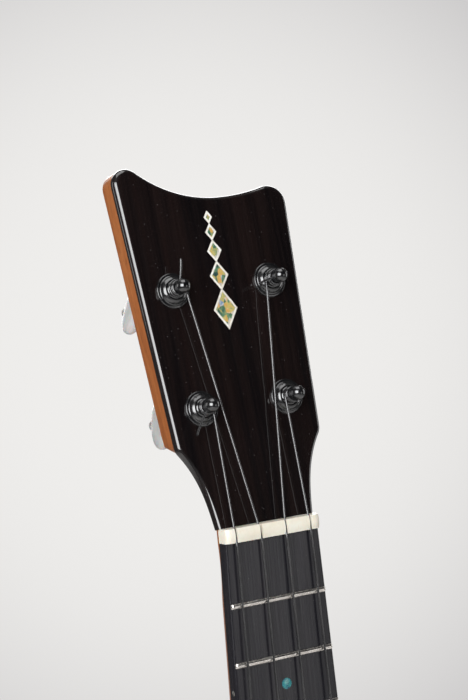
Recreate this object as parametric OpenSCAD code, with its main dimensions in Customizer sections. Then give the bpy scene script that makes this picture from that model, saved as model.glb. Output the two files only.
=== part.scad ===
// Concert ukulele with a crown headstock and four rear-facing coaxial tuners.
// Origin: middle of the nut's front edge, on the fingerboard surface.
// +Z runs up the neck, -Y is the front that the soundboard faces, +X is the treble side.

/* [Neck and fingerboard] */
// Vibrating length, from the nut's front edge to the saddle line
scale_len = 381; // [379:0.5:383]
// Width of the fingerboard at the nut
nut_w = 37.1; // [36.5:0.1:38]
// Widening of the fingerboard per millimetre of length
board_taper = 0.053; // [0.05:0.0005:0.055]
// Length of the fingerboard
board_len = 236; // [234:1:238]
// Thickness of the fingerboard
board_t = 4.2; // [4:0.1:4.6]
// Number of frets
fret_count = 16; // [14:1:16]
// Height of a fret above the fingerboard
fret_h = 1.0; // [0.8:0.1:1.2]
// Depth of neck and fingerboard together behind the nut
neck_depth = 18.2; // [17.8:0.1:18.8]
// Length of the nut along the neck
nut_t = 5; // [4.5:0.1:5.5]

/* [Headstock] */
// Angle by which the headstock leans back
head_tilt = 11.2; // [10:0.1:12]
// Drop from the fingerboard surface to the foot of the headplate
head_drop = 2.7; // [2.4:0.1:3]
// Thickness of the ebony headplate
plate_t = 2.6; // [2:0.1:3]
// Thickness of the wooden headstock core
core_t = 7.7; // [7:0.1:9]
// Half width of the headstock at its foot
foot_w = 19.1; // [18.8:0.1:19.4]
// Half width at the shoulder corners
shoulder_w = 28.7; // [28.4:0.1:29]
// Height of the shoulder corners above the foot
shoulder_v = 29.6; // [29.2:0.1:30.2]
// Outward slope of the sides above the shoulders
side_flare = 0.053; // [0.045:0.001:0.06]
// Inward slope of the core's sides below the shoulders, per millimetre of depth
undercut = 0.6; // [0.5:0.01:0.65]
// Lowest point of the hollow between the two horns: distance to the treble side, and height
dip = [6, 114.4];
// Radius of the horn's tip on the bass side and on the treble side
horn_r = [5.5, 6.8];
// Height of the centre of the horn's tip on the bass side and on the treble side
horn_v = [121.4, 110.1];

/* [Tuners and strings] */
// Distance of the lower tuners from the centre line
low_x = 16.9; // [16.6:0.1:17.2]
// Height of the lower tuners above the headstock's foot
low_v = 41.3; // [40.8:0.1:42]
// Distance of the upper tuners from the centre line
high_x = 19.2; // [18.9:0.1:19.5]
// Height of the upper tuners above the headstock's foot
high_v = 82.75; // [82:0.05:83.5]
// Distance between neighbouring strings at the nut
nut_pitch = 9.8; // [9.6:0.05:10]
// Distance between neighbouring strings at the saddle
saddle_pitch = 14; // [13.5:0.1:14.5]
// Diameter of a string
string_d = 0.8; // [0.7:0.05:0.85]

/* [Body] */
// Length of the body
body_len = 282; // [278:1:286]
// Depth of the body
body_depth = 66; // [62:1:70]
// Width across the upper bout
upper_w = 152; // [150:1:154]
// Width at the waist
waist_w = 124; // [122:1:126]
// Distance of the waist from the body's upper end
waist_y = 105; // [102:1:108]
// Width across the lower bout
lower_w = 208; // [204:1:212]
// Thickness of soundboard and back plate
plate_wall = 2; // [1.8:0.1:2.4]
// Thickness of the rims
rim_t = 1.8; // [1.6:0.1:2]
// Diameter of the sound hole
hole_d = 56; // [54:1:58]

/* [Hidden] */

$fn = 48;

ebony = "#26211f";
koa = "#a8632f";
spruce = "#d9b98a";
bone = "#ece4d0";
black_metal = "#1c1c1e";
nickel = "#cfc9bc";
pearl = "#e8e6e0";
abalone = "#3f8f92";
nylon = "#222222";

// Neck
joint_u = -scale_len / 2;
tilt_run = tan(head_tilt);
shaft_clip = 20.5;
heel_clip = 58;
heel_run = 46;
heel_swell = 110;
heel_cap_t = 2;
seat_u = nut_t - (board_t - head_drop) * tilt_run;
joint_depth = head_drop + (plate_t + core_t) * cos(head_tilt);
dowel_r = 4;
dowel_n = [-32, -47];
dowel_from = joint_u - 18;
dowel_len = 32;

// Fingerboard furniture
dot_frets = [3, 5, 7, 10, 12];
dot_r = 1.9;
dot_t = 1.2;
side_dot_r = 0.9;
side_dot_n = -2.1;
tang_w = 0.5;
tang_h = 1.8;

// Strings: height of a string's centre line over each support
nut_string_n = 1.2;
nut_exit_h = 2.9;
saddle_u = -scale_len - 2;
saddle_string_n = 6;
string_r = string_d / 2;
knot_r = 1.1;
knot_n = -2.8;

// Tuner sizes along the post's own axis, measured from the headplate's face
bore_r = 4;
shaft_r = 2.8;
running_gap = 0.05;
flange_r = 6.15;
recess_h = 1.4;
waist_r = 2.1;
cap_r = 2.55;
cap_h = 8.4;
hole_h = 5.75;
coil_h = 3.8;
coil_pitch = 0.74;
coil_turns = 3;
// How much further out each string lies where it meets its winding: 0.6 where it starts a second layer
lap = [0, 0.6, 0.6, 0];
string_gap = 2.6;
core_back = -plate_t - core_t;
ferrule_t = 2.5;
washer_t = 0.8;
skirt_h = core_back - ferrule_t - washer_t - running_gap;
skirt_r = 5;
button_mid = -30;
button_h = 13;
spindle_end = -33.5;
spindle_r = 2;
screw_r = 1;
tuner_at = [[-low_x, low_v], [-high_x, high_v], [high_x, high_v], [low_x, low_v]];
// Turn of each button and of each cut string tail at rest, and the tail's reach from the axis
button_turn = [79, 64, 104, 92];
tail_turn = [232, 75, 191, 8];
tail_reach = [11.4, 9.9, 7.9, 4.2];

// Body
inner_n = -board_t - plate_wall;
back_n = -board_t - body_depth;
binding_w = 1.6;
binding_h = 3.5;
lining_w = 5;
lining_h = 10;
block_n = back_n + plate_wall;
hole_u = joint_u - 88;
shoulder_r = 50;
lower_r = 70;
shoulder_x = upper_w / 2 - shoulder_r;
waist_step = waist_w / 2 - shoulder_x;
waist_run = waist_y - shoulder_r;
waist_r_out = (waist_step ^ 2 + waist_run ^ 2 - shoulder_r ^ 2) / (2 * (shoulder_r - waist_step));
waist_x = waist_w / 2 + waist_r_out;
lower_x = lower_w / 2 - lower_r;
lower_y = waist_y + sqrt((waist_r_out + lower_r) ^ 2 - (waist_x - lower_x) ^ 2);
tail_drop = body_len - lower_y;
tail_r = (lower_x ^ 2 + tail_drop ^ 2 - lower_r ^ 2) / (2 * (tail_drop - lower_r));
tail_y = body_len - tail_r;
block_half = 25;
tail_half = 20;
strip_half = 4;
bridge_u = saddle_u - 4;
bridge_half = 48;
bridge_core = 31;
bridge_top = 2.5;
bridge_len = 22;
wing_steps = 6;
brace_t = 7;
brace_w = 6;
fan_t = 5;
fan_len = 133;
fan_pitch = 12;
fan_turn = 10;
patch_t = 2;

// ---------- frames ----------

// x to the right, y up the neck, z out of the front
module front() {
  rotate([90, 0, 0]) children();
}

// x to the right, y up the headplate from its foot, z out of the headplate
module head() {
  translate([0, head_drop, nut_t]) rotate([90 - head_tilt, 0, 0]) children();
}

// A point of the headplate's frame, in the front frame
function head_pt(x, v, h) = [
  x,
  nut_t + v * cos(head_tilt) + h * sin(head_tilt),
  -head_drop - v * sin(head_tilt) + h * cos(head_tilt)
];

// Extrudes a (y, z) outline along x, centred
module along_x(len) {
  rotate([90, 0, 90]) linear_extrude(len, center = true) children();
}

// Extrudes an (x, z) outline along y, centred
module along_y(len) {
  rotate([90, 0, 0]) linear_extrude(len, center = true) children();
}

// ---------- outlines ----------

function arc(cx, cy, r, from, to, steps) = [
  for (i = [0 : steps]) let (a = from + (to - from) * i / steps) [cx + r * cos(a), cy + r * sin(a)]
];

function mirrored(points) = [for (i = [len(points) - 1 : -1 : 0]) [-points[i][0], points[i][1]]];

// Flare from the headstock's foot to just below the shoulder
function flare_x(v) = foot_w + 0.125 * v + 0.00027 * v ^ 3;
function side_x(v) = shoulder_w + side_flare * (v - shoulder_v);

// One half of the headstock outline, from foot to dip: k is 0 for bass, 1 for treble, x grows outwards
function head_half(k) =
  let (
    r = horn_r[k],
    low_point = [k == 0 ? -dip[0] : dip[0], dip[1]],
    tip = [side_x(horn_v[k]) - r * sqrt(1 + side_flare ^ 2), horn_v[k]],
    run = tip - low_point,
    big = (run * run - r ^ 2) / (2 * (run[1] + r)),
    hub = low_point + [0, big],
    lean = atan(side_flare),
    meet = atan2(hub[1] - tip[1], hub[0] - tip[0]),
    inner = atan2(tip[1] - hub[1], tip[0] - hub[0])
  )
  concat(
    [for (v = [0 : 3.1 : 28]) [flare_x(v), v]],
    [[shoulder_w - 0.15, shoulder_v - 0.8], [shoulder_w, shoulder_v]],
    [[side_x(shoulder_v + 2), shoulder_v + 2]],
    arc(tip[0], tip[1], r, -lean, meet, 12),
    arc(hub[0], hub[1], big, inner - (inner + 90) / 10, -90, 9)
  );

// The whole outline; both halves end at the dip, so the bass half leaves its last point out
function head_points() =
  let (bass = head_half(0))
  concat(head_half(1), [for (i = [len(bass) - 2 : -1 : 0]) [-bass[i][0], bass[i][1]]]);

// A point of the core's outline at a depth below the headplate: below the shoulders it moves inwards
function carved(p, depth) =
  let (share = min(1, max(0, (shoulder_v + 2 - p[1]) / 4)))
  [p[0] - sign(p[0]) * undercut * depth * share, p[1]];

// One half of the body outline, inset by d, from the neck joint to the tail; y grows towards the tail
function body_half(d) =
  let (
    waist_from = atan2(waist_y - shoulder_r, waist_x - shoulder_x),
    waist_to = atan2(lower_y - waist_y, lower_x - waist_x),
    tail_from = atan2(lower_y - tail_y, lower_x)
  )
  concat(
    arc(shoulder_x, shoulder_r, shoulder_r - d, -90, waist_from, 14),
    arc(waist_x, waist_y, waist_r_out + d, waist_from + 180 - 6, waist_to, 10),
    arc(lower_x, lower_y, lower_r - d, waist_to - 174, tail_from, 12),
    arc(0, tail_y, tail_r - d, tail_from + 6, 90, 7)
  );

module body_outline(d = 0) {
  half = [for (p = body_half(d)) [p[0], joint_u - p[1]]];
  polygon(concat(half, mirrored(half)));
}

// A slab of the body's outline between two heights of the front frame
module body_slab(low, high, d = 0) {
  translate([0, 0, low]) linear_extrude(high - low) body_outline(d);
}

// A ring that follows the body's outline
module body_ring(low, high, outer, inner) {
  translate([0, 0, low]) linear_extrude(high - low) difference() {
    body_outline(outer);
    body_outline(inner);
  }
}

// Everything on one side of the centre line: side is -1 for bass, 1 for treble
module half_space(side) {
  translate([side * 150, joint_u - body_len / 2, back_n + body_depth / 2])
    cube([300, 600, 200], center = true);
}

// ---------- neck ----------

function board_w(u) = nut_w - board_taper * u;
function fret_u(n) = -scale_len * (1 - 2 ^ (-n / 12));

// Full depth of the neck below the fingerboard surface at a place along it
function neck_d(u) =
  let (
    slope = neck_depth - 0.012 * u,
    heel = max(0, (joint_u + heel_run - u) / heel_run),
    rise = min(1, max(0, (u + 22) / 26))
  )
  slope + heel_swell * heel ^ 3 - (neck_depth - joint_depth) * (3 * rise ^ 2 - 2 * rise ^ 3);

// Half width of the neck's section at depth n below the fingerboard surface: a circular arc that
// turns into the core's carved section at the head and into a full oval at the heel
function neck_x(u, n) =
  let (
    wide = board_w(min(u, 0)) / 2,
    deep = neck_d(u) - board_t,
    q = min(1, (n - board_t) / deep),
    arc_r = (wide ^ 2 + deep ^ 2) / (2 * deep),
    arc_x = sqrt(max(0, arc_r ^ 2 - (q * deep + arc_r - deep) ^ 2)),
    head_x = (wide - undercut * max(0, n - board_t - 1)) * (1 - q ^ 12) ^ (1 / 12),
    low = max(0, (n - shaft_clip) / (heel_clip - shaft_clip)),
    heel_x = wide * (1 - q ^ 2.2) ^ (1 / 2.2) * (1 - 0.55 * low ^ 1.4),
    to_head = min(1, max(0, (u + 22) / 22)) ^ 2,
    to_heel = min(1, max(0, joint_u + heel_run - u) / (0.4 * heel_run))
  )
  max(0.3, arc_x * (1 - to_head) * (1 - to_heel) + head_x * to_head + heel_x * to_heel);

// Ring of points of the neck's section between two depths; the head end leans with the headstock
function neck_ring(u, from, to, steps, lean) =
  let (
    depths = [for (i = [0 : steps]) from + (to - from) * sin(90 * i / steps)],
    side = [for (n = depths) [neck_x(u, n), u + lean * (board_t - n) * tilt_run, -n]]
  )
  concat(side, mirrored_ring(side));

function mirrored_ring(side) = [
  for (i = [len(side) - 1 : -1 : 0]) [-side[i][0], side[i][1], side[i][2]]
];

// A closed skin over rings that all have the same number of points
module loft(rings) {
  count = len(rings[0]);
  last = len(rings) - 1;
  polyhedron(
    points = [for (r = rings) for (p = r) p],
    faces = concat(
      [[for (i = [0 : count - 1]) i]],
      [for (k = [0 : last - 1]) for (i = [0 : count - 1])
        let (j = (i + 1) % count) [k * count + i, (k + 1) * count + i, (k + 1) * count + j]],
      [for (k = [0 : last - 1]) for (i = [0 : count - 1])
        let (j = (i + 1) % count) [k * count + i, (k + 1) * count + j, k * count + j]],
      [[for (i = [count - 1 : -1 : 0]) last * count + i]]
    )
  );
}

module neck_shaft() {
  heel_stations = [for (i = [0 : 10]) joint_u + heel_run * i / 10];
  stations = concat(heel_stations, [-110, -70, -40, -24, -18, -13, -8, -4, 0]);
  color(koa) front() loft(concat(
    [for (u = stations) neck_ring(u, board_t, min(shaft_clip, neck_d(u)), 12, 0)],
    [neck_ring(seat_u, board_t, joint_depth, 12, 1)]
  ));
}

module heel() {
  first = joint_u + heel_run * 0.75;
  stations = [for (i = [0 : 12]) joint_u + (first - joint_u) * i / 12];
  color(koa) front() difference() {
    loft([for (u = stations) neck_ring(u, shaft_clip, min(heel_clip, neck_d(u)), 10, 0)]);
    dowels(0);
  }
}

module heel_cap() {
  cap_run = heel_run * (1 - ((heel_clip - neck_depth) / heel_swell) ^ (1 / 3));
  side = [for (i = [0 : 8]) let (u = joint_u + cap_run * i / 8) [neck_x(u, heel_clip), u]];
  color(ebony) front() translate([0, 0, -heel_clip - heel_cap_t])
    linear_extrude(heel_cap_t) polygon(concat(side, mirrored(side)));
}

module dowels(gap) {
  for (n = dowel_n) {
    translate([0, dowel_from, n]) rotate([-90, 0, 0]) cylinder(r = dowel_r + gap, h = dowel_len);
  }
}

module neck_dowels() {
  color(spruce) front() dowels(0);
}

// ---------- fingerboard ----------

module dot_places() {
  for (n = dot_frets) {
    u = (fret_u(n) + fret_u(n - 1)) / 2;
    if (n == 12) {
      for (x = [-9, 9]) translate([x, u, 0]) children();
    } else {
      translate([0, u, 0]) children();
    }
  }
}

module side_dot_places() {
  for (n = dot_frets) {
    u = (fret_u(n) + fret_u(n - 1)) / 2;
    translate([-board_w(u) / 2, u, side_dot_n]) rotate([0, 90, 0]) children();
  }
}

module fingerboard() {
  end_w = board_w(-board_len) / 2;
  color(ebony) front() difference() {
    translate([0, 0, -board_t]) linear_extrude(board_t)
      polygon([[-nut_w / 2, 0], [nut_w / 2, 0], [end_w, -board_len], [-end_w, -board_len]]);
    for (n = [1 : fret_count]) translate([0, fret_u(n), -tang_h / 2])
      cube([80, tang_w, tang_h + 0.001], center = true);
    dot_places() translate([0, 0, -dot_t]) cylinder(r = dot_r, h = 2);
    side_dot_places() translate([0, 0, -1]) cylinder(r = side_dot_r, h = 2);
  }
}

module frets() {
  color(nickel) front() for (n = [1 : fret_count]) {
    half = board_w(fret_u(n)) / 2 - 0.35;
    translate([0, fret_u(n), 0]) intersection() {
      along_x(80) {
        intersection() {
          circle(r = fret_h);
          translate([-2, 0]) square([4, 2]);
        }
        translate([-tang_w / 2, -tang_h]) square([tang_w, tang_h + 0.2]);
      }
      along_y(4) polygon([
        [-half, -tang_h - 1], [half, -tang_h - 1], [half, 0.15],
        [half - 0.9, fret_h + 0.1], [0.9 - half, fret_h + 0.1], [-half, 0.15]
      ]);
    }
  }
}

module position_dots() {
  color(abalone) front() dot_places() translate([0, 0, -dot_t]) cylinder(r = dot_r, h = dot_t);
}

module side_dots() {
  color(pearl) front() intersection() {
    side_dot_places() translate([0, 0, -1]) cylinder(r = side_dot_r, h = 2);
    translate([0, -board_len / 2, -board_t / 2]) linear_extrude(board_t, center = true)
      polygon([[-nut_w / 2, board_len / 2], [0, board_len / 2], [0, -board_len / 2],
        [-board_w(-board_len) / 2, -board_len / 2]]);
  }
}

// ---------- headstock ----------

module tuner_bores(low, high) {
  for (t = tuner_at) translate([t[0], t[1], low]) cylinder(r = bore_r, h = high - low);
}

module headstock() {
  points = head_points();
  color(koa) head() difference() {
    loft([for (h = [core_back, -plate_t]) [for (p = points) concat(carved(p, -plate_t - h), h)]]);
    tuner_bores(core_back - 1, -plate_t + 1);
  }
}

inlay_depth = 0.8;
inlay_rim = 0.75;
// Lozenges of the inlay: height of the middle, half width, half height
inlay_stones = [
  [74.5, 4.7, 7.4], [86.4, 3.7, 5.4], [95.2, 2.9, 4.1], [101.9, 2.25, 3.2], [107.2, 1.7, 2.45]
];

module lozenge(w, h) {
  polygon([[-w, 0], [0, -h], [w, 0], [0, h]]);
}

// The inlay's lozenges, shrunk by d on every side
module stones(d) {
  for (s = inlay_stones) {
    shrink = 1 - d * sqrt(s[1] ^ 2 + s[2] ^ 2) / (s[1] * s[2]);
    translate([0, s[0]]) lozenge(s[1] * shrink, s[2] * shrink);
  }
}

module headplate() {
  color(ebony) head() difference() {
    translate([0, 0, -plate_t]) linear_extrude(plate_t) polygon(head_points());
    tuner_bores(-plate_t - 1, 1);
    translate([0, 0, -inlay_depth]) linear_extrude(2) stones(0);
  }
}

module head_inlay_border() {
  color(pearl) head() translate([0, 0, -inlay_depth]) linear_extrude(inlay_depth) difference() {
    stones(0);
    stones(inlay_rim);
  }
}

module head_inlay_core() {
  color(abalone) head() translate([0, 0, -inlay_depth]) linear_extrude(inlay_depth) stones(inlay_rim);
}

module nut() {
  color(bone) front() difference() {
    along_x(nut_w) polygon([
      [0, -board_t], [seat_u, -board_t], [nut_t, -head_drop], [nut_t, 0.9], [4.6, 1.35],
      [3, 1.75], [1.2, 1.9], [0.35, 1.75], [0, 1.35]
    ]);
    for (i = [0 : 3]) {
      a = string_route(i)[3];
      b = string_route(i)[4];
      run = b - a;
      translate(a) rotate([0, 0, -atan(run[0] / run[1])]) rotate([atan(run[2] / run[1]), 0, 0]) {
        translate([0, -1, 0]) rotate([-90, 0, 0]) cylinder(r = string_r + 0.05, h = nut_t + 2);
        translate([-string_r - 0.05, -1, 0]) cube([string_d + 0.1, nut_t + 2, 3]);
      }
    }
  }
}

// ---------- tuners ----------

module at_tuner(i) {
  head() translate([tuner_at[i][0], tuner_at[i][1], 0]) children();
}

module tuner_bushings() {
  color(black_metal) for (i = [0 : 3]) at_tuner(i) rotate_extrude() polygon([
    [shaft_r + running_gap, -6.2], [bore_r, -6.2], [bore_r, 0], [flange_r, 0], [flange_r, 0.6],
    [flange_r - 0.15, 0.9], [flange_r - 0.55, 1], [5.2, 1], [4.95, 1.2], [4.75, 1.6], [4.55, 1.95],
    [4.3, 2.25], [3.95, 2.5], [3.65, 2.68], [3.5, 2.62], [3.45, 2.3], [3.45, recess_h],
    [shaft_r + running_gap, recess_h]
  ]);
}

module tuner_ferrules() {
  color(black_metal) for (i = [0 : 3]) at_tuner(i) rotate_extrude() polygon([
    [shaft_r + running_gap, -6.4], [bore_r, -6.4], [bore_r, core_back], [5.9, core_back],
    [5.9, core_back - ferrule_t + 0.6], [5.3, core_back - ferrule_t],
    [shaft_r + running_gap, core_back - ferrule_t]
  ]);
}

module friction_washers() {
  top = core_back - ferrule_t;
  color("#e8e8e8") for (i = [0 : 3]) at_tuner(i) translate([0, 0, top - washer_t]) difference() {
    cylinder(r = skirt_r, h = washer_t);
    translate([0, 0, -1]) cylinder(r = shaft_r + 0.1, h = washer_t + 2);
  }
}

module post(i) {
  button_top = button_mid + button_h / 2;
  color(black_metal) at_tuner(i) difference() {
    rotate_extrude() polygon(concat([
      [0, spindle_end], [spindle_r, spindle_end], [spindle_r, button_top], [3.6, button_top],
      [skirt_r - 0.5, -20], [skirt_r, -18], [skirt_r, skirt_h], [shaft_r, skirt_h],
      [shaft_r, recess_h + running_gap], [3.3, recess_h + running_gap], [3.3, 2.55], [3.05, 2.9],
      [2.6, 3.1], [waist_r, 3.25], [waist_r, cap_h - 1.1], [waist_r + 0.1, cap_h - 0.85],
      [cap_r - 0.15, cap_h - 0.75]],
      arc(0, cap_h, cap_r, -12, 90, 10)
    ));
    rotate([0, 0, tail_turn[i]]) translate([0, 0, hole_h]) rotate([0, 90, 0])
      cylinder(r = string_r + 0.1, h = 8, center = true);
    translate([0, 0, spindle_end - 1]) cylinder(r = screw_r, h = 6.5);
  }
}

module button(i) {
  $fn = 200;
  dome = 40;
  thick = 5.6;
  color(pearl) at_tuner(i) translate([0, 0, button_mid]) rotate([0, 0, button_turn[i]]) difference() {
    intersection() {
      rotate([90, 0, 0]) linear_extrude(thick + 1, center = true) intersection() {
        translate([0, 7.5]) circle(r = 14);
        translate([0, -7.5]) circle(r = 14);
        circle(r = 9.5);
      }
      translate([0, dome - thick / 2, 0]) sphere(r = dome);
      translate([0, thick / 2 - dome, 0]) sphere(r = dome);
    }
    translate([0, 0, spindle_end - button_mid]) cylinder(r = spindle_r, h = 20);
    translate([0, 0, -20]) cylinder(r = screw_r, h = 20);
  }
}

module button_screw(i) {
  foot = button_mid - button_h / 2;
  color(nickel) at_tuner(i) difference() {
    rotate_extrude() polygon([
      [0, foot - 1.2], [1.5, foot - 1.2], [2.2, foot - 0.5], [2.2, foot], [screw_r, foot],
      [screw_r, spindle_end + 5.5], [0, spindle_end + 5.5]
    ]);
    translate([-3, -0.3, foot - 2]) cube([6, 0.6, 1.4]);
  }
}

// The wound end of a string: three turns on the post's waist and the cut tail through its hole
module string_end(i) {
  ring_r = waist_r + string_r - 0.02;
  top = coil_h + coil_pitch * (coil_turns - 1);
  color(nylon) at_tuner(i) {
    difference() {
      rotate_extrude() {
        for (k = [0 : coil_turns - 1]) translate([ring_r, coil_h + coil_pitch * k]) circle(r = string_r);
        if (lap[i] > 0) translate([ring_r + lap[i], coil_h + coil_pitch / 2]) circle(r = string_r);
        translate([waist_r - 0.1, coil_h]) square([string_r, top - coil_h]);
      }
      translate([0, 0, coil_h - 2]) cylinder(r = waist_r, h = 6);
    }
    rotate([0, 0, tail_turn[i]]) translate([-ring_r, 0, hole_h]) rotate([0, 90, 0])
      cylinder(r = string_r, h = tail_reach[i] + ring_r, $fn = 24);
  }
}

// ---------- strings ----------

function string_place(i, pitch) = (i - 1.5) * pitch;

// Where the string from point p runs on to the winding of tuner i, on its inner side
function tangent_pt(i, p) =
  let (
    c = tuner_at[i],
    r = waist_r + string_r + lap[i],
    run = c - p,
    far = norm(run),
    side = i < 2 ? -1 : 1,
    turn = atan2(run[1], run[0]) + side * asin(r / far)
  )
  p + sqrt(far ^ 2 - r ^ 2) * [cos(turn), sin(turn)];

// Route of string i: knot, bridge slot, saddle, nut front, nut back, and just short of the winding
function string_route(i) =
  let (
    x = string_place(i, nut_pitch),
    low = string_place(i, saddle_pitch),
    touch = tangent_pt(i, [x, 0]),
    exit = [x + (touch[0] - x) * 0.04, 0],
    run = touch - exit,
    stop = exit + run * (1 - string_gap / norm(run))
  )
  [
    [low, bridge_u - 6.2, knot_n], [low, bridge_u - 5.7, bridge_top + string_d],
    [low, saddle_u, saddle_string_n],
    [x, 0, nut_string_n], head_pt(exit[0], exit[1], nut_exit_h), head_pt(stop[0], stop[1], coil_h)
  ];

function unit(v) = v / norm(v);

// Section of a string at point k of its route, square to the mean direction there
function string_ring(route, k, r, sides) =
  let (
    before = route[max(0, k - 1)],
    after = route[min(len(route) - 1, k + 1)],
    into = k > 0 ? unit(route[k] - before) : unit(after - route[k]),
    out = k < len(route) - 1 ? unit(after - route[k]) : into,
    along = unit(into + out),
    a = unit(cross(along, [1, 0, 0])),
    b = cross(along, a)
  )
  [for (s = [0 : sides - 1]) route[k] + r * (cos(360 * s / sides) * a + sin(360 * s / sides) * b)];

module string(i) {
  route = string_route(i);
  color(nylon) front() {
    loft([for (k = [0 : len(route) - 1]) string_ring(route, k, string_r, 8)]);
    translate(route[0]) sphere(r = knot_r);
  }
}

// ---------- body ----------

module soundboard() {
  color(koa) front() difference() {
    body_slab(inner_n, -board_t, binding_w);
    translate([0, hole_u, inner_n - 1]) cylinder(d = hole_d, h = plate_wall + 2, $fn = 96);
    rosette_ring(1);
  }
}

module rosette_ring(extra) {
  translate([0, hole_u, -board_t - 0.8]) difference() {
    cylinder(r = hole_d / 2 + 7, h = 0.8 + extra, $fn = 96);
    translate([0, 0, -1]) cylinder(r = hole_d / 2 + 3, h = 4, $fn = 96);
  }
}

module rosette() {
  color(abalone) front() rosette_ring(0);
}

module back_plate() {
  color(koa) front() body_slab(back_n, back_n + plate_wall, binding_w);
}

module rim(side) {
  color(koa) front() difference() {
    intersection() {
      body_ring(back_n + binding_h, -board_t - binding_h, 0, rim_t);
      half_space(side);
    }
    translate([0, joint_u - body_len, back_n]) cube([2 * strip_half, 20, 4 * body_depth], center = true);
    dowels(0);
  }
}

module end_strip() {
  color(ebony) front() intersection() {
    body_ring(back_n + binding_h, -board_t - binding_h, 0, rim_t);
    translate([0, joint_u - body_len, back_n]) cube([2 * strip_half, 20, 4 * body_depth], center = true);
  }
}

module neck_block() {
  color(spruce) front() difference() {
    translate([-block_half, joint_u - rim_t - 20, block_n])
      cube([2 * block_half, 20, inner_n - block_n]);
    dowels(0);
  }
}

module tail_block() {
  color(spruce) front() intersection() {
    body_slab(block_n, inner_n, rim_t);
    translate([-tail_half, joint_u - body_len - 1, block_n]) cube([2 * tail_half, 14, 200]);
  }
}

module lining(side, low) {
  color(spruce) front() difference() {
    intersection() {
      body_ring(low, low + lining_h, rim_t, rim_t + lining_w);
      half_space(side);
    }
    translate([-block_half, joint_u - 20, low - 1]) cube([2 * block_half, 30, lining_h + 2]);
    translate([-tail_half, joint_u - body_len - 1, low - 1]) cube([2 * tail_half, 14, lining_h + 2]);
  }
}

// A straight bar across the body at u, trimmed to the linings
module bar(u, wide, low, high) {
  intersection() {
    body_slab(low, high, rim_t + lining_w);
    translate([-150, u - wide / 2, low]) cube([300, wide, high - low]);
  }
}

module cross_braces() {
  color(spruce) front() for (u = [hole_u + 41, hole_u - 40]) bar(u, brace_w, inner_n - brace_t, inner_n);
}

module fan_braces() {
  color(spruce) front() difference() {
    for (k = [-1 : 1]) translate([k * fan_pitch, hole_u - 46, inner_n - fan_t]) rotate([0, 0, k * fan_turn])
      translate([-fan_t / 2, -fan_len, 0]) cube([fan_t, fan_len, fan_t]);
    patch_slab();
  }
}

module patch_slab() {
  translate([-46, bridge_u - 15, inner_n - patch_t]) cube([92, 30, patch_t]);
}

module bridge_patch() {
  color(spruce) front() patch_slab();
}

module sound_hole_ring() {
  color(spruce) front() translate([0, hole_u, inner_n - patch_t]) difference() {
    cylinder(r = hole_d / 2 + 8, h = patch_t, $fn = 96);
    translate([0, 0, -1]) cylinder(d = hole_d, h = 4, $fn = 96);
  }
}

module back_braces() {
  color(spruce) front() for (k = [0 : 2]) bar(joint_u - 52 - 78 * k, brace_w, block_n, block_n + brace_t);
}

module top_binding() {
  color(ebony) front() body_ring(-board_t - binding_h, -board_t, 0, binding_w);
}

module back_binding() {
  color(ebony) front() body_ring(back_n, back_n + binding_h, 0, binding_w);
}

// ---------- bridge ----------

module bridge() {
  wing = [for (k = [0 : wing_steps]) [
    bridge_core + (bridge_half - bridge_core) * k / wing_steps,
    bridge_top - 5 * sin(90 * k / wing_steps)
  ]];
  color(ebony) front() difference() {
    translate([0, bridge_u, 0]) along_y(bridge_len)
      polygon(concat([[bridge_half, -board_t]], [for (k = [wing_steps : -1 : 0]) wing[k]],
        [for (p = wing) [-p[0], p[1]]], [[-bridge_half, -board_t]]));
    saddle_bar(bridge_top + 1);
    for (i = [0 : 3]) translate([string_place(i, saddle_pitch), bridge_u - 6.2, 0]) {
      translate([-0.6, -6, knot_n]) cube([1.2, 7.2, 8]);
      translate([0, 0, -board_t - 1]) cylinder(r = knot_r + 0.4, h = knot_n + board_t + 1 + knot_r + 0.3);
    }
  }
}

module saddle_bar(top) {
  translate([-30.5, saddle_u - 1.2, -1.5]) cube([61, 2.4, top + 1.5]);
}

module saddle() {
  crest = saddle_string_n - string_r;
  color(bone) front() {
    saddle_bar(crest - 0.8);
    translate([0, saddle_u, crest - 0.8]) along_x(61)
      polygon([[-1.2, -0.01], [1.2, -0.01], [0.9, 0.5], [0.4, 0.8], [-0.4, 0.8], [-0.9, 0.5]]);
  }
}

headstock();
headplate();
head_inlay_border();
head_inlay_core();
nut();
neck_shaft();
heel();
heel_cap();
neck_dowels();
fingerboard();
frets();
position_dots();
side_dots();
tuner_bushings();
tuner_ferrules();
friction_washers();
post(0);  // post_g
post(1);  // post_c
post(2);  // post_e
post(3);  // post_a
button(0);  // button_g
button(1);  // button_c
button(2);  // button_e
button(3);  // button_a
button_screw(0);  // button_screw_g
button_screw(1);  // button_screw_c
button_screw(2);  // button_screw_e
button_screw(3);  // button_screw_a
string_end(0);  // string_end_g
string_end(1);  // string_end_c
string_end(2);  // string_end_e
string_end(3);  // string_end_a
string(0);  // string_g
string(1);  // string_c
string(2);  // string_e
string(3);  // string_a
soundboard();
back_plate();
rim(-1);  // rim_left
rim(1);  // rim_right
neck_block();
tail_block();
lining(-1, inner_n - lining_h);  // top_lining_left
lining(1, inner_n - lining_h);  // top_lining_right
lining(-1, block_n);  // back_lining_left
lining(1, block_n);  // back_lining_right
cross_braces();
fan_braces();
bridge_patch();
sound_hole_ring();
back_braces();
rosette();
top_binding();
back_binding();
end_strip();
bridge();
saddle();
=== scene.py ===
"""A concert ukulele: the looks of every piece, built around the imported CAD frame."""
import math
from collections import namedtuple

import bmesh
import bpy
from mathutils import Matrix, Vector
from mathutils.geometry import tessellate_polygon


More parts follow.
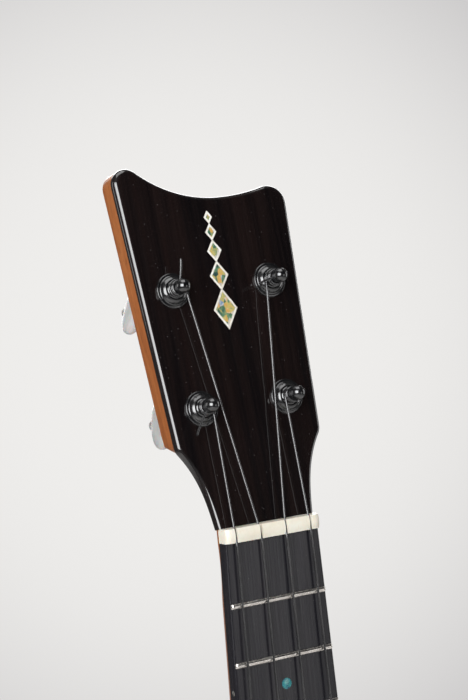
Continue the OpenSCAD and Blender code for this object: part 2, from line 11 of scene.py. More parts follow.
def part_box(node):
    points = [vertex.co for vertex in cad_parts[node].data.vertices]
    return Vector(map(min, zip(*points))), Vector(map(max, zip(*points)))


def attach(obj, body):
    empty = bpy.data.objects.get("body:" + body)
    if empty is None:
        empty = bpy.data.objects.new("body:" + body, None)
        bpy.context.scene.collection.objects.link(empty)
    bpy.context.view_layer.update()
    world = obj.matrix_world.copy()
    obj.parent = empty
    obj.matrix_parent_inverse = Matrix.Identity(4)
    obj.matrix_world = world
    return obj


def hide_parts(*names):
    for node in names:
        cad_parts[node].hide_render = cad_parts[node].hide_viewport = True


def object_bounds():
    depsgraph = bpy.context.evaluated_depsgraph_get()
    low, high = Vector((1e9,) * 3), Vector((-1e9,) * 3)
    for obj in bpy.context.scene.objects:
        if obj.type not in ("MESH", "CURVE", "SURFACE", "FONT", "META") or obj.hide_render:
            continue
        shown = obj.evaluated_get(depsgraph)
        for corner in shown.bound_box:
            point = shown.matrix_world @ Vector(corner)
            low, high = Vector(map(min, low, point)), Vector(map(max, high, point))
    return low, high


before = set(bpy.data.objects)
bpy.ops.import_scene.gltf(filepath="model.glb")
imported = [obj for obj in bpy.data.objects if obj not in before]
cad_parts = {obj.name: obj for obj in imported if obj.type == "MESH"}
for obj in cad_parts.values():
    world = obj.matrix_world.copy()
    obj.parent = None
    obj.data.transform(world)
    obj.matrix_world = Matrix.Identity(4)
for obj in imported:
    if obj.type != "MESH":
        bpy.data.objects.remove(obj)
cad_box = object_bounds()

MM = 0.001


def span(node, axis):
    """Lowest and highest coordinate of a CAD node along an axis, in millimetres."""
    low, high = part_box(node)
    return low[axis] / MM, high[axis] / MM


# ---------- driving dimensions, in millimetres ----------

# Neck and fingerboard: u runs up the neck from the nut, n out of the front
SCALE = 381
NUT_W = span("nut", 0)[1] * 2
BOARD_T = span("fingerboard", 1)[1]
BOARD_LEN = -span("fingerboard", 2)[0]
BOARD_TAPER = (span("fingerboard", 0)[1] * 2 - NUT_W) / BOARD_LEN
FRETS = 16
FRET_H = 1.0
FRET_HALF = 1.0
NUT_T = 5
DOT_FRETS = (3, 5, 7, 10, 12)
DOT_R = 1.9
DOT_DEPTH = 1.2

# Headstock: v runs up the headplate from its foot, h out of it
TILT = math.radians(11.2)
HEAD_DROP = 2.7
PLATE_T = 2.6
CORE_T = 7.7
CORE_BACK = -PLATE_T - CORE_T
SHOULDER = (28.7, 29.6)
SIDE_FLARE = 0.053
UNDERCUT = 0.6
PLATE_EDGE = 1.9
CORE_EDGE = 1.2
# Below the shoulders the half width is FOOT_W + FLARE_SLOPE * v + FLARE_CURVE * v ** 3, up to FLARE_END
FOOT_W = 19.1
FLARE_SLOPE = 0.125
FLARE_CURVE = 0.00027
FLARE_END = 27.4
SHOULDER_CORNER = (28.6, 28.75)
SIDE_START = SHOULDER[1] + 1.4
# Lowest point of the hollow between the horns, and each horn's side, tip radius and height of its centre
DIP = (6, 114.4)
HORNS = ((1, 6.8, 110.1), (-1, 5.5, 121.4))

# Inlay of the headplate: height of each lozenge's middle, half width, half height
STONES = ((74.5, 4.7, 7.4), (86.4, 3.7, 5.4), (95.2, 2.9, 4.1), (101.9, 2.25, 3.2), (107.2, 1.7, 2.45))
STONE_RIM = 0.75
STONE_DEPTH = 0.8

# Neck: its depth with the fingerboard and its slope, the depths where the shaft and the heel end, the
# length in which the heel swells and by how much, and the depth at the joint with the headstock
NECK_DEPTH = 18.2
NECK_SLOPE = 0.012
SHAFT_CLIP = 20.5
HEEL_CLIP = 58
HEEL_RUN = 46
HEEL_SWELL = 110
CAP_THICK = 2
# From here up to the nut the neck's section turns into the core's
BLEND_U = -22
JOINT_DEPTH = HEAD_DROP - CORE_BACK * math.cos(TILT)

# Tuners: each one's place on the headplate, the turn of its button and of its cut tail in degrees, how
# far the tail reaches, and how much further out the string lies where it meets its winding
Tuner = namedtuple("Tuner", "name x v button_turn tail_turn tail_reach lap")
TUNERS = (
    Tuner("g", -16.9, 41.3, 79, 232, 11.4, 0),
    Tuner("c", -19.2, 82.75, 64, 75, 9.9, 0.6),
    Tuner("e", 19.2, 82.75, 104, 191, 7.9, 0.6),
    Tuner("a", 16.9, 41.3, 92, 8, 4.2, 0),
)
BORE_R = 4.0
SHAFT_R = 2.8
SKIRT_R = 5.0
SPINDLE_R = 2.0
CAP_R = 2.55
CAP_H = 8.4
WAIST_R = 2.1
COIL_H = 3.8
HOLE_H = 5.75
BUTTON_H = -30
BUTTON_SIZE = (19, 13, 5.6)
# Sections of the parts that don't turn, as (radius, height)
BORE = SHAFT_R + 0.05
BUSHING = [(BORE, -6.2), (BORE_R, -6.2), (BORE_R, 0), (6.15, 0), (6.15, 0.6), (6, 0.9), (5.6, 1),
           (5.2, 1), (4.95, 1.2), (4.75, 1.6), (4.55, 1.95), (4.3, 2.25), (3.95, 2.5), (3.65, 2.68),
           (3.5, 2.62), (3.45, 2.3), (3.45, 1.4), (BORE, 1.4)]
FERRULE = [(BORE, -6.4), (BORE_R, -6.4), (BORE_R, CORE_BACK), (5.9, CORE_BACK), (5.9, CORE_BACK - 1.9),
           (5.3, CORE_BACK - 2.5), (BORE, CORE_BACK - 2.5)]
WASHER = [(BORE + 0.1, CORE_BACK - 2.52), (SKIRT_R, CORE_BACK - 2.52), (SKIRT_R, CORE_BACK - 3.28),
          (BORE + 0.1, CORE_BACK - 3.28)]

# Strings
STRING_R = 0.4
NUT_PITCH = 9.8
SADDLE_PITCH = 14

# Body: its outline's sizes are measured down from the neck's joint at JOINT_U
JOINT_U = -SCALE / 2
BODY_LEN = JOINT_U - span("tail_block", 2)[0] + 1.8
BODY_BACK = -span("back_binding", 1)[1]
UPPER_R = 50
UPPER_X = 26
WAIST_HALF = 62
WAIST_Y = 105
LOWER_R = 70
LOWER_HALF = span("rim_right", 0)[1]
BINDING_W = 1.6
BINDING_H = 3.5
RIM_T = 1.8
PLATE_WALL = 2
HOLE_R = 28
HOLE_U = JOINT_U - 88
ROSETTE = (HOLE_R + 3, HOLE_R + 7)
ROSETTE_DEPTH = 0.8
STRIP_HALF = 4
BRIDGE_U = -SCALE - 6
SADDLE_U = -SCALE - 2


# ---------- frames ----------

def front(x, u, n):
    """A point of the front frame, in the row frame."""
    return Vector((x, -n, u)) * MM


def head(x, v, h):
    """A point of the headplate's frame, in the row frame."""
    return Vector((
        x,
        HEAD_DROP + v * math.sin(TILT) - h * math.cos(TILT),
        NUT_T + v * math.cos(TILT) + h * math.sin(TILT),
    )) * MM


def at_tuner(tuner, turn=0.0):
    """The frame of one tuner: its axis is h, and turn is in degrees."""
    cos, sin = math.cos(math.radians(turn)), math.sin(math.radians(turn))
    return lambda x, y, h: head(tuner.x + x * cos - y * sin, tuner.v + x * sin + y * cos, h)


# ---------- meshes ----------

SHARP = math.radians(32)


def placed(name, data):
    """A new object in the scene."""
    made = bpy.data.objects.new(name, data)
    bpy.context.scene.collection.objects.link(made)
    return made


def piece(name, solid, paint, node, body="root"):
    """A piece that stands for a CAD node; solid holds points in metres, faces, and the flat faces."""
    verts, faces, flat = solid
    mesh = bpy.data.meshes.new(name)
    mesh.from_pydata([tuple(v) for v in verts], [], faces)
    flat = set(flat)
    mesh.polygons.foreach_set("use_smooth", [i not in flat for i in range(len(mesh.polygons))])
    bm = bmesh.new()
    bm.from_mesh(mesh)
    bmesh.ops.remove_doubles(bm, verts=bm.verts, dist=1e-7)
    bmesh.ops.recalc_face_normals(bm, faces=bm.faces)
    bm.to_mesh(mesh)
    bm.free()
    mesh.set_sharp_from_angle(angle=SHARP)
    mesh.materials.append(PAINTS[paint])
    made = placed(name, mesh)
    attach(made, body)
    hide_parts(node)


def joined(parts):
    """Several (verts, faces, flat) parts as one."""
    verts, faces, flat = [], [], []
    for some_verts, some_faces, some_flat in parts:
        flat += [i + len(faces) for i in some_flat]
        faces += [[i + len(verts) for i in face] for face in some_faces]
        verts += some_verts
    return verts, faces, flat


def skin(rings, closed=False, caps=True):
    """Quads between rings of points. closed joins the last ring to the first; caps fill both ends."""
    count, total = len(rings[0]), len(rings)
    verts = [p for ring in rings for p in ring]
    faces = []
    for k in range(total if closed else total - 1):
        a, b = k * count, (k + 1) % total * count
        for i in range(count):
            j = (i + 1) % count
            faces.append((a + i, a + j, b + j, b + i))
    flat = []
    if caps and not closed:
        flat = [len(faces), len(faces) + 1]
        faces += [tuple(range(count)), tuple((total - 1) * count + i for i in range(count))]
    return verts, faces, flat


def lathe(profile, place, segments=96):
    """Turns (radius, height) points round a tuner's axis."""
    turns = [math.tau * i / segments for i in range(segments)]
    rings = []
    for radius, height in profile:
        radius = max(radius, 1e-5)
        rings.append([place(radius * math.cos(a), radius * math.sin(a), height) for a in turns])
    return skin(rings, closed=profile[0][0] > 0, caps=False)


def rounded(points, radius, steps=5, closed=False):
    """A polyline with each corner rounded by a curve that starts up to radius before it."""
    out = []
    count = len(points)
    for i, p in enumerate(points):
        if not closed and i in (0, count - 1):
            out.append(tuple(p))
            continue
        corner = Vector(p)
        before, after = Vector(points[i - 1]) - corner, Vector(points[(i + 1) % count]) - corner
        reach = min(radius, before.length * 0.45, after.length * 0.45)
        start, end = corner + before.normalized() * reach, corner + after.normalized() * reach
        for k in range(steps + 1):
            t = k / steps
            out.append(tuple(start * (1 - t) ** 2 + corner * 2 * t * (1 - t) + end * t * t))
    return out


def tube(points, radius, sides):
    """A round tube along points given in metres."""
    points = [Vector(p) for p in points]
    turns = [math.tau * i / sides for i in range(sides)]
    rings, side = [], None
    for k, p in enumerate(points):
        along = (points[min(k + 1, len(points) - 1)] - points[max(k - 1, 0)]).normalized()
        if side is None:
            side = along.orthogonal().normalized()
        side = (side - along * side.dot(along)).normalized()
        other = along.cross(side)
        rings.append([p + (side * math.cos(a) + other * math.sin(a)) * radius * MM for a in turns])
    return skin(rings)


# ---------- outlines, as lists of (x, y) in millimetres ----------

def arc(cx, cy, r, start, end, steps):
    """Points along an arc, with angles in degrees."""
    angles = [math.radians(start + (end - start) * i / steps) for i in range(steps + 1)]
    return [(cx + r * math.cos(a), cy + r * math.sin(a)) for a in angles]


def mirrored(points):
    return [(-x, y) for x, y in reversed(points)]


def distinct(points):
    """A closed outline without the points that repeat the next one."""
    return [p for p, after in zip(points, points[1:] + points[:1]) if math.dist(p, after) > 1e-4]


def circle(cx, cy, r, steps=72):
    return arc(cx, cy, r, 0, 360 - 360 / steps, steps - 1)


def inset(loop, distance, open_foot=False):
    """A loop moved inwards. With open_foot its closing edge stays in line, as at a butt joint."""
    area = sum(a[0] * b[1] - b[0] * a[1] for a, b in zip(loop, loop[1:] + loop[:1]))
    inward = distance if area > 0 else -distance
    out = []
    for i, (x, y) in enumerate(loop):
        here, before, after = (Vector(loop[k % len(loop)]) for k in (i, i - 1, i + 1))
        a, b = (here - before).normalized(), (after - here).normalized()
        if open_foot and i in (0, len(loop) - 1):
            edge = b if i == 0 else a
            out.append((x - inward * (1 / edge.y), y))
            continue
        normal = Vector((-(a.y + b.y), a.x + b.x)).normalized()
        miter = normal.dot((-b.y, b.x))
        out.append((x + normal.x * inward / miter, y + normal.y * inward / miter))
    return out


def side_x(v):
    """Half width of the headstock at height v, above the shoulders."""
    return SHOULDER[0] + SIDE_FLARE * (v - SHOULDER[1])


def head_half(side, tip_r, tip_v):
    """Half of the headstock's outline, from its foot to the dip between the horns; x grows outwards."""
    low = Vector((side * DIP[0], DIP[1]))
    tip = Vector((side_x(tip_v) - tip_r * math.hypot(1, SIDE_FLARE), tip_v))
    run = tip - low
    hollow = (run.length_squared - tip_r ** 2) / (2 * (run.y + tip_r))
    hub = low + Vector((0, hollow))
    meet = math.degrees(math.atan2(hub.y - tip.y, hub.x - tip.x))
    turn = math.degrees(math.atan2(tip.y - hub.y, tip.x - hub.x))
    heights = [FLARE_END * i / 44 for i in range(45)]
    flare = [(FOOT_W + FLARE_SLOPE * v + FLARE_CURVE * v ** 3, v) for v in heights]
    corner = rounded([flare[-1], SHOULDER_CORNER, (side_x(SIDE_START), SIDE_START)], 2, 6)[1:-1]
    heights = [SIDE_START + 4 * i for i in range(int((tip_v - SIDE_START) / 4))]
    edge = [(side_x(v), v) for v in heights]
    lean = math.degrees(math.atan(SIDE_FLARE))
    return flare + corner + edge + arc(*tip, tip_r, -lean, meet, 40) + arc(*hub, hollow, turn, -90, 60)


def head_loop():
    treble, bass = (head_half(*horn) for horn in HORNS)
    return distinct(treble + mirrored(bass))


def carved(loop, depth):
    """The core's outline at a depth below the headplate: below the shoulders it moves inwards."""
    above, fade = SHOULDER[1] + 2, 4
    out = []
    for x, v in loop:
        share = min(1.0, max(0.0, (above - v) / fade))
        share = share * share * (3 - 2 * share)
        out.append((x - math.copysign(UNDERCUT * depth * share, x), v))
    return out


def body_half(steps=48):
    """The treble half of the body's outline, from neck joint to tail, as (x, u)."""
    step = WAIST_HALF - UPPER_X
    waist_r = (step ** 2 + (WAIST_Y - UPPER_R) ** 2 - UPPER_R ** 2) / (2 * (UPPER_R - step))
    waist_x = WAIST_HALF + waist_r
    lower_x = LOWER_HALF - LOWER_R
    lower_y = WAIST_Y + math.sqrt((waist_r + LOWER_R) ** 2 - (waist_x - lower_x) ** 2)
    drop = BODY_LEN - lower_y
    tail_r = (lower_x ** 2 + drop ** 2 - LOWER_R ** 2) / (2 * (drop - LOWER_R))
    tail_y = BODY_LEN - tail_r
    first = math.degrees(math.atan2(WAIST_Y - UPPER_R, waist_x - UPPER_X))
    second = math.degrees(math.atan2(lower_y - WAIST_Y, lower_x - waist_x))
    third = math.degrees(math.atan2(lower_y - tail_y, lower_x))
    points = [(x, 0) for x in range(0, UPPER_X, 4)]
    points += arc(UPPER_X, UPPER_R, UPPER_R, -90, first, steps)
    points += arc(waist_x, WAIST_Y, waist_r, first + 180, second, steps)
    points += arc(lower_x, lower_y, LOWER_R, second - 180, third, steps)
    points += arc(0, tail_y, tail_r, third, 90, steps)
    return distinct([(x, JOINT_U - y) for x, y in points])


def body_loop():
    half = body_half()
    return distinct(half + mirrored(half))


# ---------- solids from outlines ----------

def inlaid(depth):
    """The edge profile of an inlay whose softened rim stands just proud of the surface."""
    return [(0, -depth), (0, 0), (0.05, 0.02)]


def slab(loop, profile, place, holes=(), pockets=(), depth=0.0, open_foot=False, carve=None):
    """A slab whose edge follows (inset, height) from the bottom to the top, with bores and pockets."""
    loops = [inset(loop, d, open_foot) for d, _ in profile]
    heights = [h for _, h in profile]
    if carve:
        loops = [carve(some, heights[-1] - h) for some, h in zip(loops, heights)]
    rings = [[place(x, y, h) for x, y in ring] for ring, h in zip(loops, heights)]
    verts, faces, flat = skin(rings, caps=False)

    def cover(ring, cuts, height):
        start, outlines = len(verts), [ring, *cuts]
        verts.extend(place(x, y, height) for some in outlines for x, y in some)
        for triangle in tessellate_polygon([[(x, y, 0) for x, y in some] for some in outlines]):
            flat.append(len(faces))
            faces.append(tuple(start + i for i in triangle))

    def wall(cut, low, high):
        start, count = len(verts), len(cut)
        verts.extend(place(x, y, h) for h in (low, high) for x, y in cut)
        for i in range(count):
            j = (i + 1) % count
            faces.append((start + i, start + j, start + count + j, start + count + i))

    cover(loops[0], holes, heights[0])
    cover(loops[-1], [*holes, *pockets], heights[-1])
    for cut in holes:
        wall(cut, heights[0], heights[-1])
    for cut in pockets:
        wall(cut, heights[-1] - depth, heights[-1])
        cover(cut, [], heights[-1] - depth)
    return verts, faces, flat


def band(loop, section, place, closed=True):
    """Sweeps a closed section of (inset, height) points along an outline."""
    if closed:
        columns = [inset(loop, d) for d, _ in section]
    else:
        whole = distinct(loop + mirrored(loop))
        columns = [inset(whole, d)[:len(loop)] for d, _ in section]
    heights = [h for _, h in section]
    rings = [[place(*column[i], h) for column, h in zip(columns, heights)] for i in range(len(loop))]
    return skin(rings, closed=closed)


def round_edge(radius, low, high, bottom=0.0, steps=8):
    """A slab's edge profile, rounded at the top by radius and at the bottom, if it is set, by bottom."""
    angles = [math.pi / 2 * i / steps for i in range(steps + 1)]
    profile = [(0, low)]
    if bottom:
        profile = [(bottom * (1 - math.sin(a)), low + bottom * (1 - math.cos(a))) for a in angles]
    top = [(radius * (1 - math.cos(a)), high - radius + radius * math.sin(a)) for a in angles]
    return profile + top


# ---------- materials ----------

def add_node(tree, kind, inputs, output=0, **settings):
    """Adds a shader node, links or sets its inputs and settings, and returns one of its outputs."""
    node = tree.nodes.new(kind)
    for key, value in settings.items():
        setattr(node, key, value)
    for key, value in inputs.items():
        if isinstance(value, bpy.types.NodeSocket):
            tree.links.new(value, node.inputs[key])
        else:
            node.inputs[key].default_value = value
    return node.outputs[output]


class Paint:
    """A node material that is built round one Principled shader."""

    def __init__(self, name, **sockets):
        self.material = bpy.data.materials.new(name)
        self.material.use_nodes = True
        self.tree = self.material.node_tree
        self.shader = self.tree.nodes["Principled BSDF"]
        for socket, value in sockets.items():
            self.shader.inputs[socket.replace("_", " ")].default_value = value

    def add(self, kind, inputs, output=0, **settings):
        return add_node(self.tree, kind, inputs, output, **settings)

    def at(self, scale, tilt=0.0):
        """Object coordinates in metres, turned by tilt about X and then scaled."""
        place = self.add("ShaderNodeTexCoord", {}, "Object")
        if tilt:
            place = self.add("ShaderNodeMapping", {"Vector": place, "Rotation": (tilt, 0, 0)})
        return self.add("ShaderNodeMapping", {"Vector": place, "Scale": scale})

    def noise(self, scale, detail=3.0, roughness=0.55, distortion=0.0, tilt=0.0):
        inputs = {"Vector": self.at(scale, tilt), "Scale": 1.0, "Detail": detail,
                  "Roughness": roughness, "Distortion": distortion}
        return self.add("ShaderNodeTexNoise", inputs, "Fac")

    def cells(self, scale, output, tilt=0.0):
        inputs = {"Vector": self.at(scale, tilt), "Scale": 1.0}
        return self.add("ShaderNodeTexVoronoi", inputs, output)

    def ramp(self, factor, stops):
        out = self.add("ShaderNodeValToRGB", {"Fac": factor})
        elements = out.node.color_ramp.elements
        while len(elements) < len(stops):
            elements.new(0.5)
        for element, (position, colour) in zip(elements, stops):
            element.position = position
            element.color = (*colour, 1)
        return out

    def grey(self, factor, low, high, start=0.0, end=1.0):
        """Maps a value between start and end to a value between low and high."""
        inputs = {"Value": factor, "From Min": start, "From Max": end, "To Min": low, "To Max": high}
        return self.add("ShaderNodeMapRange", inputs)

    def math(self, operation, a, b):
        return self.add("ShaderNodeMath", {0: a, 1: b}, operation=operation)

    def blend(self, a, a_share, b, b_share):
        """Adds two values in the given shares."""
        return self.math("ADD", self.math("MULTIPLY", a, a_share), self.math("MULTIPLY", b, b_share))

    def mix(self, factor, a, b, mode="MIX"):
        return self.add("ShaderNodeMix", {0: factor, 6: a, 7: b}, 2, data_type="RGBA", blend_type=mode)

    def bump(self, height, distance, strength):
        inputs = {"Height": height, "Distance": distance * MM, "Strength": strength}
        self.link(Normal=self.add("ShaderNodeBump", inputs))

    def link(self, **sockets):
        for socket, value in sockets.items():
            self.tree.links.new(value, self.shader.inputs[socket.replace("_", " ")])


def wood(name, dark, mid, light, tilt=0.0, curl=0.0, across=(900, 900), along=14.0, **sockets):
    """Wood with its grain along Z: wide bands, fine fibres, dark pores and, with curl, cross figure."""
    paint = Paint(name, **sockets)
    bands = paint.noise((across[0] * 0.16, across[1] * 0.16, along * 0.5), 3, 0.6, 0.6, tilt)
    fibres = paint.noise((across[0], across[1], along), 4, 0.65, 0.3, tilt)
    pores = paint.noise((across[0] * 3.2, across[1] * 3.2, along * 9), 2, 0.5, 0.0, tilt)
    tone = paint.blend(bands, 0.62, fibres, 0.38)
    colour = paint.ramp(tone, [(0.34, dark), (0.5, mid), (0.66, light)])
    if curl:
        waves = paint.noise((22, 22, 210), 2, 0.5, 1.4, tilt)
        shade = paint.grey(waves, 1 - curl, 1 + curl, 0.38, 0.62)
        colour = paint.mix(1.0, colour, shade, "MULTIPLY")
    specks = paint.grey(pores, 0.0, 0.75, 0.60, 0.70)
    colour = paint.mix(specks, colour, (*[c * 0.45 for c in dark], 1))
    rough = paint.grey(fibres, sockets["Roughness"] - 0.06, sockets["Roughness"] + 0.10, 0.3, 0.7)
    paint.link(Base_Color=colour, Roughness=rough)
    paint.bump(paint.math("SUBTRACT", fibres, paint.math("MULTIPLY", specks, 0.8)), 0.03, 0.35)
    return paint.material


def black_wood(name, dark, warm, rough, tilt=0.0, **sockets):
    """Ebony: near black, with faint warm streaks along the grain and a few pale dust specks."""
    paint = Paint(name, **sockets)
    streaks = paint.noise((150, 150, 5), 3, 0.6, 0.8, tilt)
    fibres = paint.noise((1400, 1400, 26), 3, 0.6, 0.0, tilt)
    tone = paint.blend(streaks, 0.8, fibres, 0.2)
    colour = paint.ramp(tone, [(0.38, dark), (0.58, warm), (0.76, [c * 1.4 for c in warm])])
    dust = paint.cells((420, 420, 420), "Distance")
    colour = paint.mix(paint.grey(dust, 0.35, 0.0, 0.04, 0.09), colour, (0.16, 0.15, 0.15, 1))
    paint.link(Base_Color=colour, Roughness=paint.grey(fibres, rough - 0.05, rough + 0.09, 0.35, 0.65))
    paint.bump(fibres, 0.02, 0.22)
    return paint.material


def bone_material():
    paint = Paint("bone_ivory", Subsurface_Weight=0.12, Subsurface_Scale=0.002, Coat_Weight=0.1,
                  Coat_Roughness=0.18)
    cloud = paint.noise((160, 160, 160), 4, 0.6)
    fleck = paint.noise((2600, 700, 700), 2, 0.5)
    colour = paint.ramp(cloud, [(0.35, (0.73, 0.68, 0.56)), (0.6, (0.79, 0.75, 0.65))])
    colour = paint.mix(paint.grey(fleck, 0.0, 0.35, 0.60, 0.72), colour, (0.66, 0.56, 0.40, 1))
    paint.link(Base_Color=colour, Roughness=paint.grey(cloud, 0.30, 0.44, 0.3, 0.7))
    paint.bump(fleck, 0.01, 0.3)
    return paint.material


def shell(name, stops, scale, tilt=0.0, chips=True):
    """Mother of pearl or abalone: swirls, and chips of different colours, under a clear polish."""
    paint = Paint(name, Coat_Weight=1.0, Coat_Roughness=0.04, Thin_Film_Thickness=420.0,
                  Thin_Film_IOR=1.45)
    swirl = paint.noise((scale * 0.6, scale * 0.6, scale * 0.6), 3, 0.6, 2.2, tilt)
    if chips:
        cells = paint.cells((scale, scale, scale * 0.8), "Color", tilt)
        chip = paint.add("ShaderNodeSeparateColor", {"Color": cells})
        swirl = paint.blend(swirl, 0.45, chip, 0.55)
    fine = paint.noise((scale * 4, scale * 4, scale * 2.2), 2, 0.5, 0.8, tilt)
    paint.link(Base_Color=paint.ramp(swirl, stops), Roughness=paint.grey(fine, 0.12, 0.38, 0.3, 0.7))
    paint.bump(fine, 0.006, 0.4)
    return paint.material


def metal(name, low, high, rough):
    """Metal with polishing marks, and a little wear."""
    paint = Paint(name, Metallic=1.0)
    marks = paint.noise((500, 3200, 3200), 3, 0.6)
    wear = paint.noise((260, 260, 260), 4, 0.65)
    paint.link(Base_Color=paint.ramp(wear, [(0.35, low), (0.62, high)]),
               Roughness=paint.grey(marks, rough * 0.7, rough * 1.5, 0.3, 0.7))
    paint.bump(marks, 0.004, 0.3)
    return paint.material


def black_metal(name, ior, rough):
    """Black plating with fine polishing marks and a little wear."""
    paint = Paint(name, IOR=ior)
    marks = paint.noise((1800, 1800, 1800), 2, 0.5)
    wear = paint.noise((300, 300, 300), 4, 0.7)
    colour = paint.ramp(wear, [(0.4, (0.004, 0.004, 0.0045)), (0.75, (0.012, 0.012, 0.013))])
    paint.link(Base_Color=colour, Roughness=paint.grey(marks, rough - 0.03, rough + 0.03, 0.3, 0.7))
    return paint.material


def pearl_button_material():
    paint = Paint("pearl_celluloid", Subsurface_Weight=0.3, Subsurface_Scale=0.004, Coat_Weight=0.3,
                  Coat_Roughness=0.12)
    swirl = paint.noise((110, 110, 60), 3, 0.5, 1.5)
    stops = [(0.3, (0.46, 0.455, 0.45)), (0.5, (0.51, 0.505, 0.50)), (0.7, (0.56, 0.555, 0.55))]
    colour = paint.ramp(swirl, stops)
    paint.link(Base_Color=colour, Roughness=paint.grey(swirl, 0.28, 0.4, 0.3, 0.7))
    return paint.material


def plastic(name, low, high, rough):
    """Slightly mottled plastic."""
    paint = Paint(name)
    mottle = paint.noise((700, 700, 700), 3, 0.6)
    paint.link(Base_Color=paint.ramp(mottle, [(0.35, low), (0.65, high)]),
               Roughness=paint.grey(mottle, rough - 0.05, rough + 0.08, 0.3, 0.7))
    paint.bump(mottle, 0.004, 0.25)
    return paint.material


def nylon_string_material():
    """Glossy black nylon with faint streaks along it."""
    paint = Paint("black_nylon", IOR=1.9)
    streak = paint.noise((900, 900, 60), 2, 0.5)
    colour = paint.ramp(streak, [(0.35, (0.012, 0.012, 0.013)), (0.65, (0.022, 0.021, 0.022))])
    paint.link(Base_Color=colour, Roughness=paint.grey(streak, 0.16, 0.22, 0.3, 0.7))
    return paint.material


def make_materials():
    """The materials, by the names that the pieces use."""
    koa = ((0.215, 0.062, 0.017), (0.31, 0.098, 0.027), (0.39, 0.138, 0.043))
    spruce = ((0.50, 0.33, 0.17), (0.62, 0.44, 0.25), (0.72, 0.55, 0.34))
    green_gold = [(0.24, (0.03, 0.07, 0.06)), (0.36, (0.10, 0.22, 0.13)), (0.46, (0.52, 0.44, 0.15)),
                  (0.55, (0.60, 0.32, 0.08)), (0.66, (0.60, 0.56, 0.47)), (0.78, (0.16, 0.27, 0.45))]
    blue_green = [(0.38, (0.006, 0.03, 0.08)), (0.45, (0.01, 0.09, 0.14)), (0.49, (0.08, 0.46, 0.34)),
                  (0.53, (0.01, 0.07, 0.17)), (0.58, (0.02, 0.16, 0.26)), (0.64, (0.10, 0.42, 0.30))]
    sea = [(0.25, (0.02, 0.14, 0.16)), (0.4, (0.05, 0.36, 0.34)), (0.52, (0.45, 0.62, 0.40)),
           (0.62, (0.16, 0.40, 0.62)), (0.75, (0.55, 0.38, 0.50))]
    ivory = [(0.3, (0.60, 0.56, 0.50)), (0.5, (0.80, 0.76, 0.68)), (0.68, (0.86, 0.88, 0.84))]
    return {
        "koa": wood("koa", *koa, Roughness=0.42, Coat_Weight=0.35, Coat_Roughness=0.16),
        "koa_head": wood("koa_head", *koa, tilt=TILT, Roughness=0.5, Coat_Weight=0.3,
                         Coat_Roughness=0.05, Specular_IOR_Level=0.15),
        "koa_side": wood("koa_rim", (0.19, 0.057, 0.016), (0.33, 0.112, 0.032), (0.45, 0.175, 0.058),
                         curl=0.26, across=(420, 420), along=9, Roughness=0.34, Coat_Weight=0.9,
                         Coat_Roughness=0.05),
        "koa_top": wood("koa_figured", (0.20, 0.060, 0.017), (0.36, 0.125, 0.036), (0.50, 0.205, 0.068),
                        curl=0.30, across=(520, 520), along=9, Roughness=0.34, Coat_Weight=0.9,
                        Coat_Roughness=0.05),
        "ebony_gloss": black_wood("ebony_polished", (0.0030, 0.0021, 0.0025), (0.0078, 0.0043, 0.0040),
                                  0.4, TILT, Coat_Weight=1.0, Coat_Roughness=0.02, Coat_IOR=1.72,
                                  Specular_IOR_Level=0.1),
        "ebony_satin": black_wood("ebony_oiled", (0.007, 0.007, 0.010), (0.014, 0.013, 0.016), 0.24,
                                  Specular_IOR_Level=0.43),
        "ebony_trim": black_wood("ebony_binding", (0.007, 0.006, 0.006), (0.016, 0.011, 0.009), 0.25,
                                 Coat_Weight=0.8, Coat_Roughness=0.06),
        "bone": bone_material(),
        "pearl_inlay": shell("white_pearl", ivory, 420, TILT, chips=False),
        "abalone": shell("abalone_mosaic", green_gold, 620, TILT),
        "abalone_ring": shell("abalone_rosette", sea, 360),
        "abalone_dot": shell("abalone_blue", blue_green, 1900, chips=False),
        "spruce": wood("spruce", *spruce, across=(620, 620), along=10, Roughness=0.6),
        "nickel_silver": metal("nickel_silver", (0.76, 0.71, 0.66), (0.91, 0.87, 0.82), 0.26),
        "black_metal": black_metal("black_mirror", 1.9, 0.14),
        "black_satin": black_metal("black_plating", 1.9, 0.2),
        "pearl_button": pearl_button_material(),
        "screw_steel": metal("screw_steel", (0.74, 0.73, 0.72), (0.86, 0.85, 0.84), 0.42),
        "nylon_washer": plastic("white_nylon", (0.62, 0.62, 0.60), (0.74, 0.74, 0.72), 0.45),
        "nylon_string": nylon_string_material(),
    }


PAINTS = make_materials()


def finish_node(node, paint, soft=0.0):
    """Keeps a CAD node's shape and gives it a material and, if soft is set, slightly rounded edges."""
    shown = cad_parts[node]
    shown.data.materials.clear()
    shown.data.materials.append(PAINTS[paint])
    if soft:
        weld = shown.modifiers.new("weld", "WELD")
        weld.merge_threshold = 1e-6
        bevel = shown.modifiers.new("edges", "BEVEL")
        bevel.width = soft * MM
        bevel.segments = 3
        bevel.limit_method = "ANGLE"
        bevel.angle_limit = math.radians(40)
        bevel.harden_normals = True


# ---------- headstock ----------

def lozenge(v, w, h, shrink=0.0):
    """One lozenge of the inlay, moved inwards by shrink."""
    k = 1 - shrink * math.hypot(w, h) / (w * h)
    return [(0, v - h * k), (w * k, v), (0, v + h * k), (-w * k, v)]


